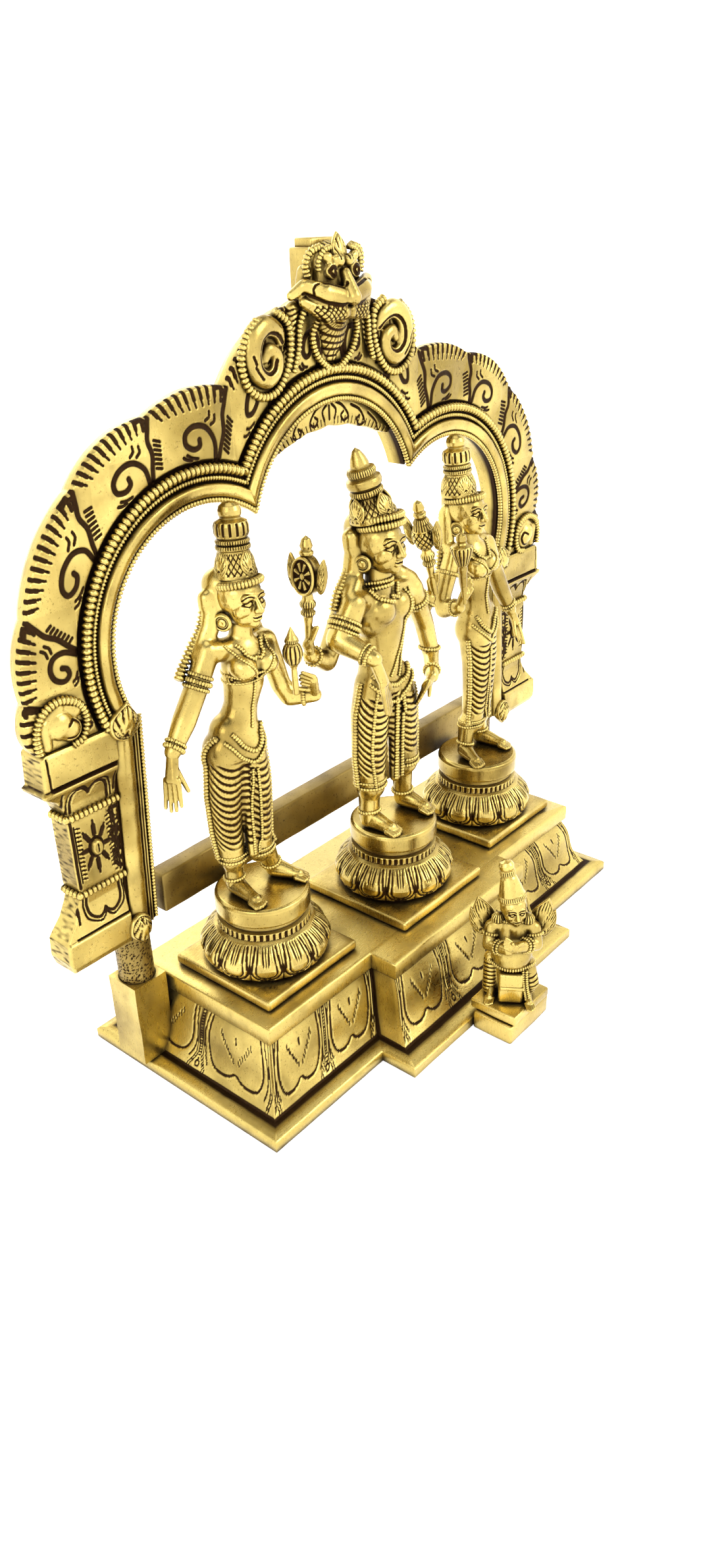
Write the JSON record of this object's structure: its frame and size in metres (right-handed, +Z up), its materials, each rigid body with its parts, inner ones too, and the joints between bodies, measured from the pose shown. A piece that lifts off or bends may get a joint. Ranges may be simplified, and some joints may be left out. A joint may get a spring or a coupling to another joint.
{
  "type": "brass shrine statue group",
  "caption": "Cast brass shrine group: standing figures on lotus seats and a kneeling attendant on a stepped plinth, under a lift-off trefoil arch with leaf border and mask crest.",
  "frame": {"origin": "on the table under the middle of the object's box", "axes": "+Z up, +X to the right across the arch as seen from the front, the figures face -Y"},
  "size_m": [0.2754, 0.1267, 0.2677],
  "materials": {
    "polished_brass": "cast brass, hand polished on the high parts, dark patina in the grooves",
    "aged_brass": "cast brass, filed and left to age",
    "zinc_steel": "zinc plated steel fixings"
  },
  "bodies": {
    "base": {"attendant_plate": "polished_brass", "attendant_rivet": "polished_brass", "centre_deity": "polished_brass", "centre_lotus_seat": "polished_brass", "centre_nut": "zinc_steel", "centre_square_plate": "polished_brass", "centre_stud": "zinc_steel", "centre_washer": "zinc_steel", "conch": "polished_brass", "discus": "polished_brass", "front_ledge": "polished_brass", "kneeling_attendant": "polished_brass", "left_consort": "polished_brass", "left_lotus_bud": "polished_brass", "left_lotus_seat": "polished_brass", "left_nut": "zinc_steel", "left_post_socket": "polished_brass", "left_square_plate": "polished_brass", "left_stud": "zinc_steel", "left_washer": "zinc_steel", "plinth": "polished_brass", "right_consort": "polished_brass", "right_lotus_bud": "polished_brass", "right_lotus_seat": "polished_brass", "right_nut": "zinc_steel", "right_post_socket": "polished_brass", "right_square_plate": "polished_brass", "right_stud": "zinc_steel", "right_washer": "zinc_steel"},
    "arch": {"arch_band": "polished_brass", "crest_mask": "polished_brass", "cross_rail": "aged_brass", "crown_tracery": "polished_brass", "left_pilaster": "polished_brass", "left_post": "polished_brass", "right_pilaster": "polished_brass", "right_post": "polished_brass"}
  },
  "joints": [
    {"name": "arch_lift", "type": "slide", "parent": "base", "child": "arch", "axis": [0, 0, 1], "range_m": [0, 0.019]}
  ]
}
